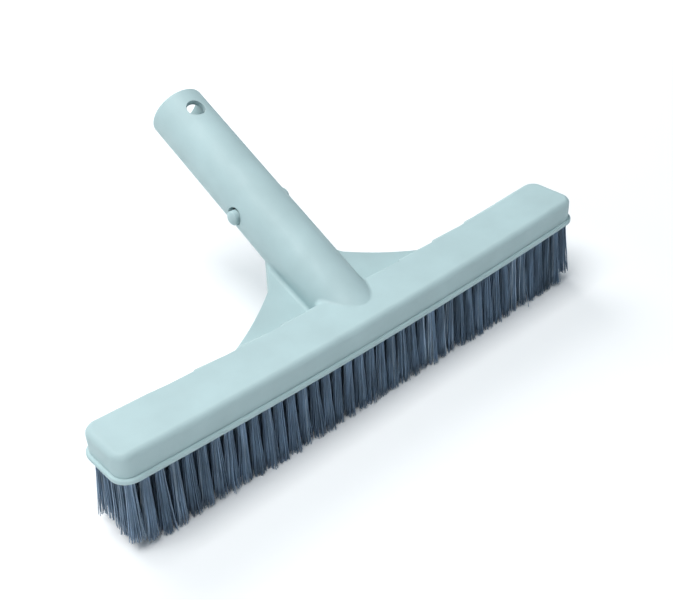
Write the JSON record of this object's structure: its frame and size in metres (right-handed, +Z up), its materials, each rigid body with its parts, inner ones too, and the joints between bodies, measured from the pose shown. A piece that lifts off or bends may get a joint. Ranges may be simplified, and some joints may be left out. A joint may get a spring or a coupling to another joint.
{
  "type": "pool wall brush",
  "caption": "Straight-headed pool wall brush with rows of wire tufts, a slanted hollow spigot for a pole and a spring clip with two locking buttons.",
  "frame": {"origin": "on the scrubbing face, at the tip of the middle tuft", "axes": "+X along the head, +Y from the head towards the pole, +Z up, from the tufts' tips to the head"},
  "size_m": [0.27, 0.1516, 0.1093],
  "materials": {
    "plastic": "satin",
    "wire": "satin",
    "anchor": "satin",
    "spring": "satin",
    "button": "gloss"
  },
  "bodies": {
    "brush": {"head": "plastic", "spigot": "plastic", "web_left": "plastic", "web_right": "plastic", "tufts_01": "wire", "tufts_02": "wire", "tufts_03": "wire", "tufts_04": "wire", "tufts_05": "wire", "tufts_06": "wire", "tufts_07": "wire", "tufts_08": "wire", "tufts_09": "wire", "tufts_10": "wire", "tufts_11": "wire", "tufts_12": "wire", "tufts_13": "wire", "tufts_14": "wire", "tufts_15": "wire", "tufts_16": "wire", "tufts_17": "wire", "tufts_18": "wire", "tufts_19": "wire", "tufts_20": "wire", "tufts_21": "wire", "tufts_22": "wire", "tufts_23": "wire", "tufts_24": "wire", "tufts_25": "wire", "tufts_26": "wire", "tufts_27": "wire", "tufts_28": "wire", "tufts_29": "wire", "tufts_30": "wire", "tufts_31": "wire", "tufts_32": "wire", "tufts_33": "wire", "tufts_34": "wire", "tufts_35": "wire", "tufts_36": "wire", "tufts_37": "wire", "tufts_38": "wire", "tufts_39": "wire", "tufts_40": "wire", "tufts_41": "wire", "tuft_anchors": "anchor", "clip_bow": "spring"},
    "left_leg": {"clip_leg_left": "spring", "clip_button_left": "button"},
    "right_leg": {"clip_leg_right": "spring", "clip_button_right": "button"}
  },
  "joints": [
    {"name": "left_button_press", "type": "hinge", "parent": "brush", "child": "left_leg", "pos_m": [-0.00405, 0.04036, 0.05162], "axis": [0, 0.4501, -0.893], "range_deg": [0, 6.5], "stiffness_Nm_per_rad": 1.5},
    {"name": "right_button_press", "type": "hinge", "parent": "brush", "child": "right_leg", "pos_m": [0.00405, 0.04036, 0.05162], "axis": [0, -0.4501, 0.893], "range_deg": [0, 6.5], "stiffness_Nm_per_rad": 1.5}
  ]
}
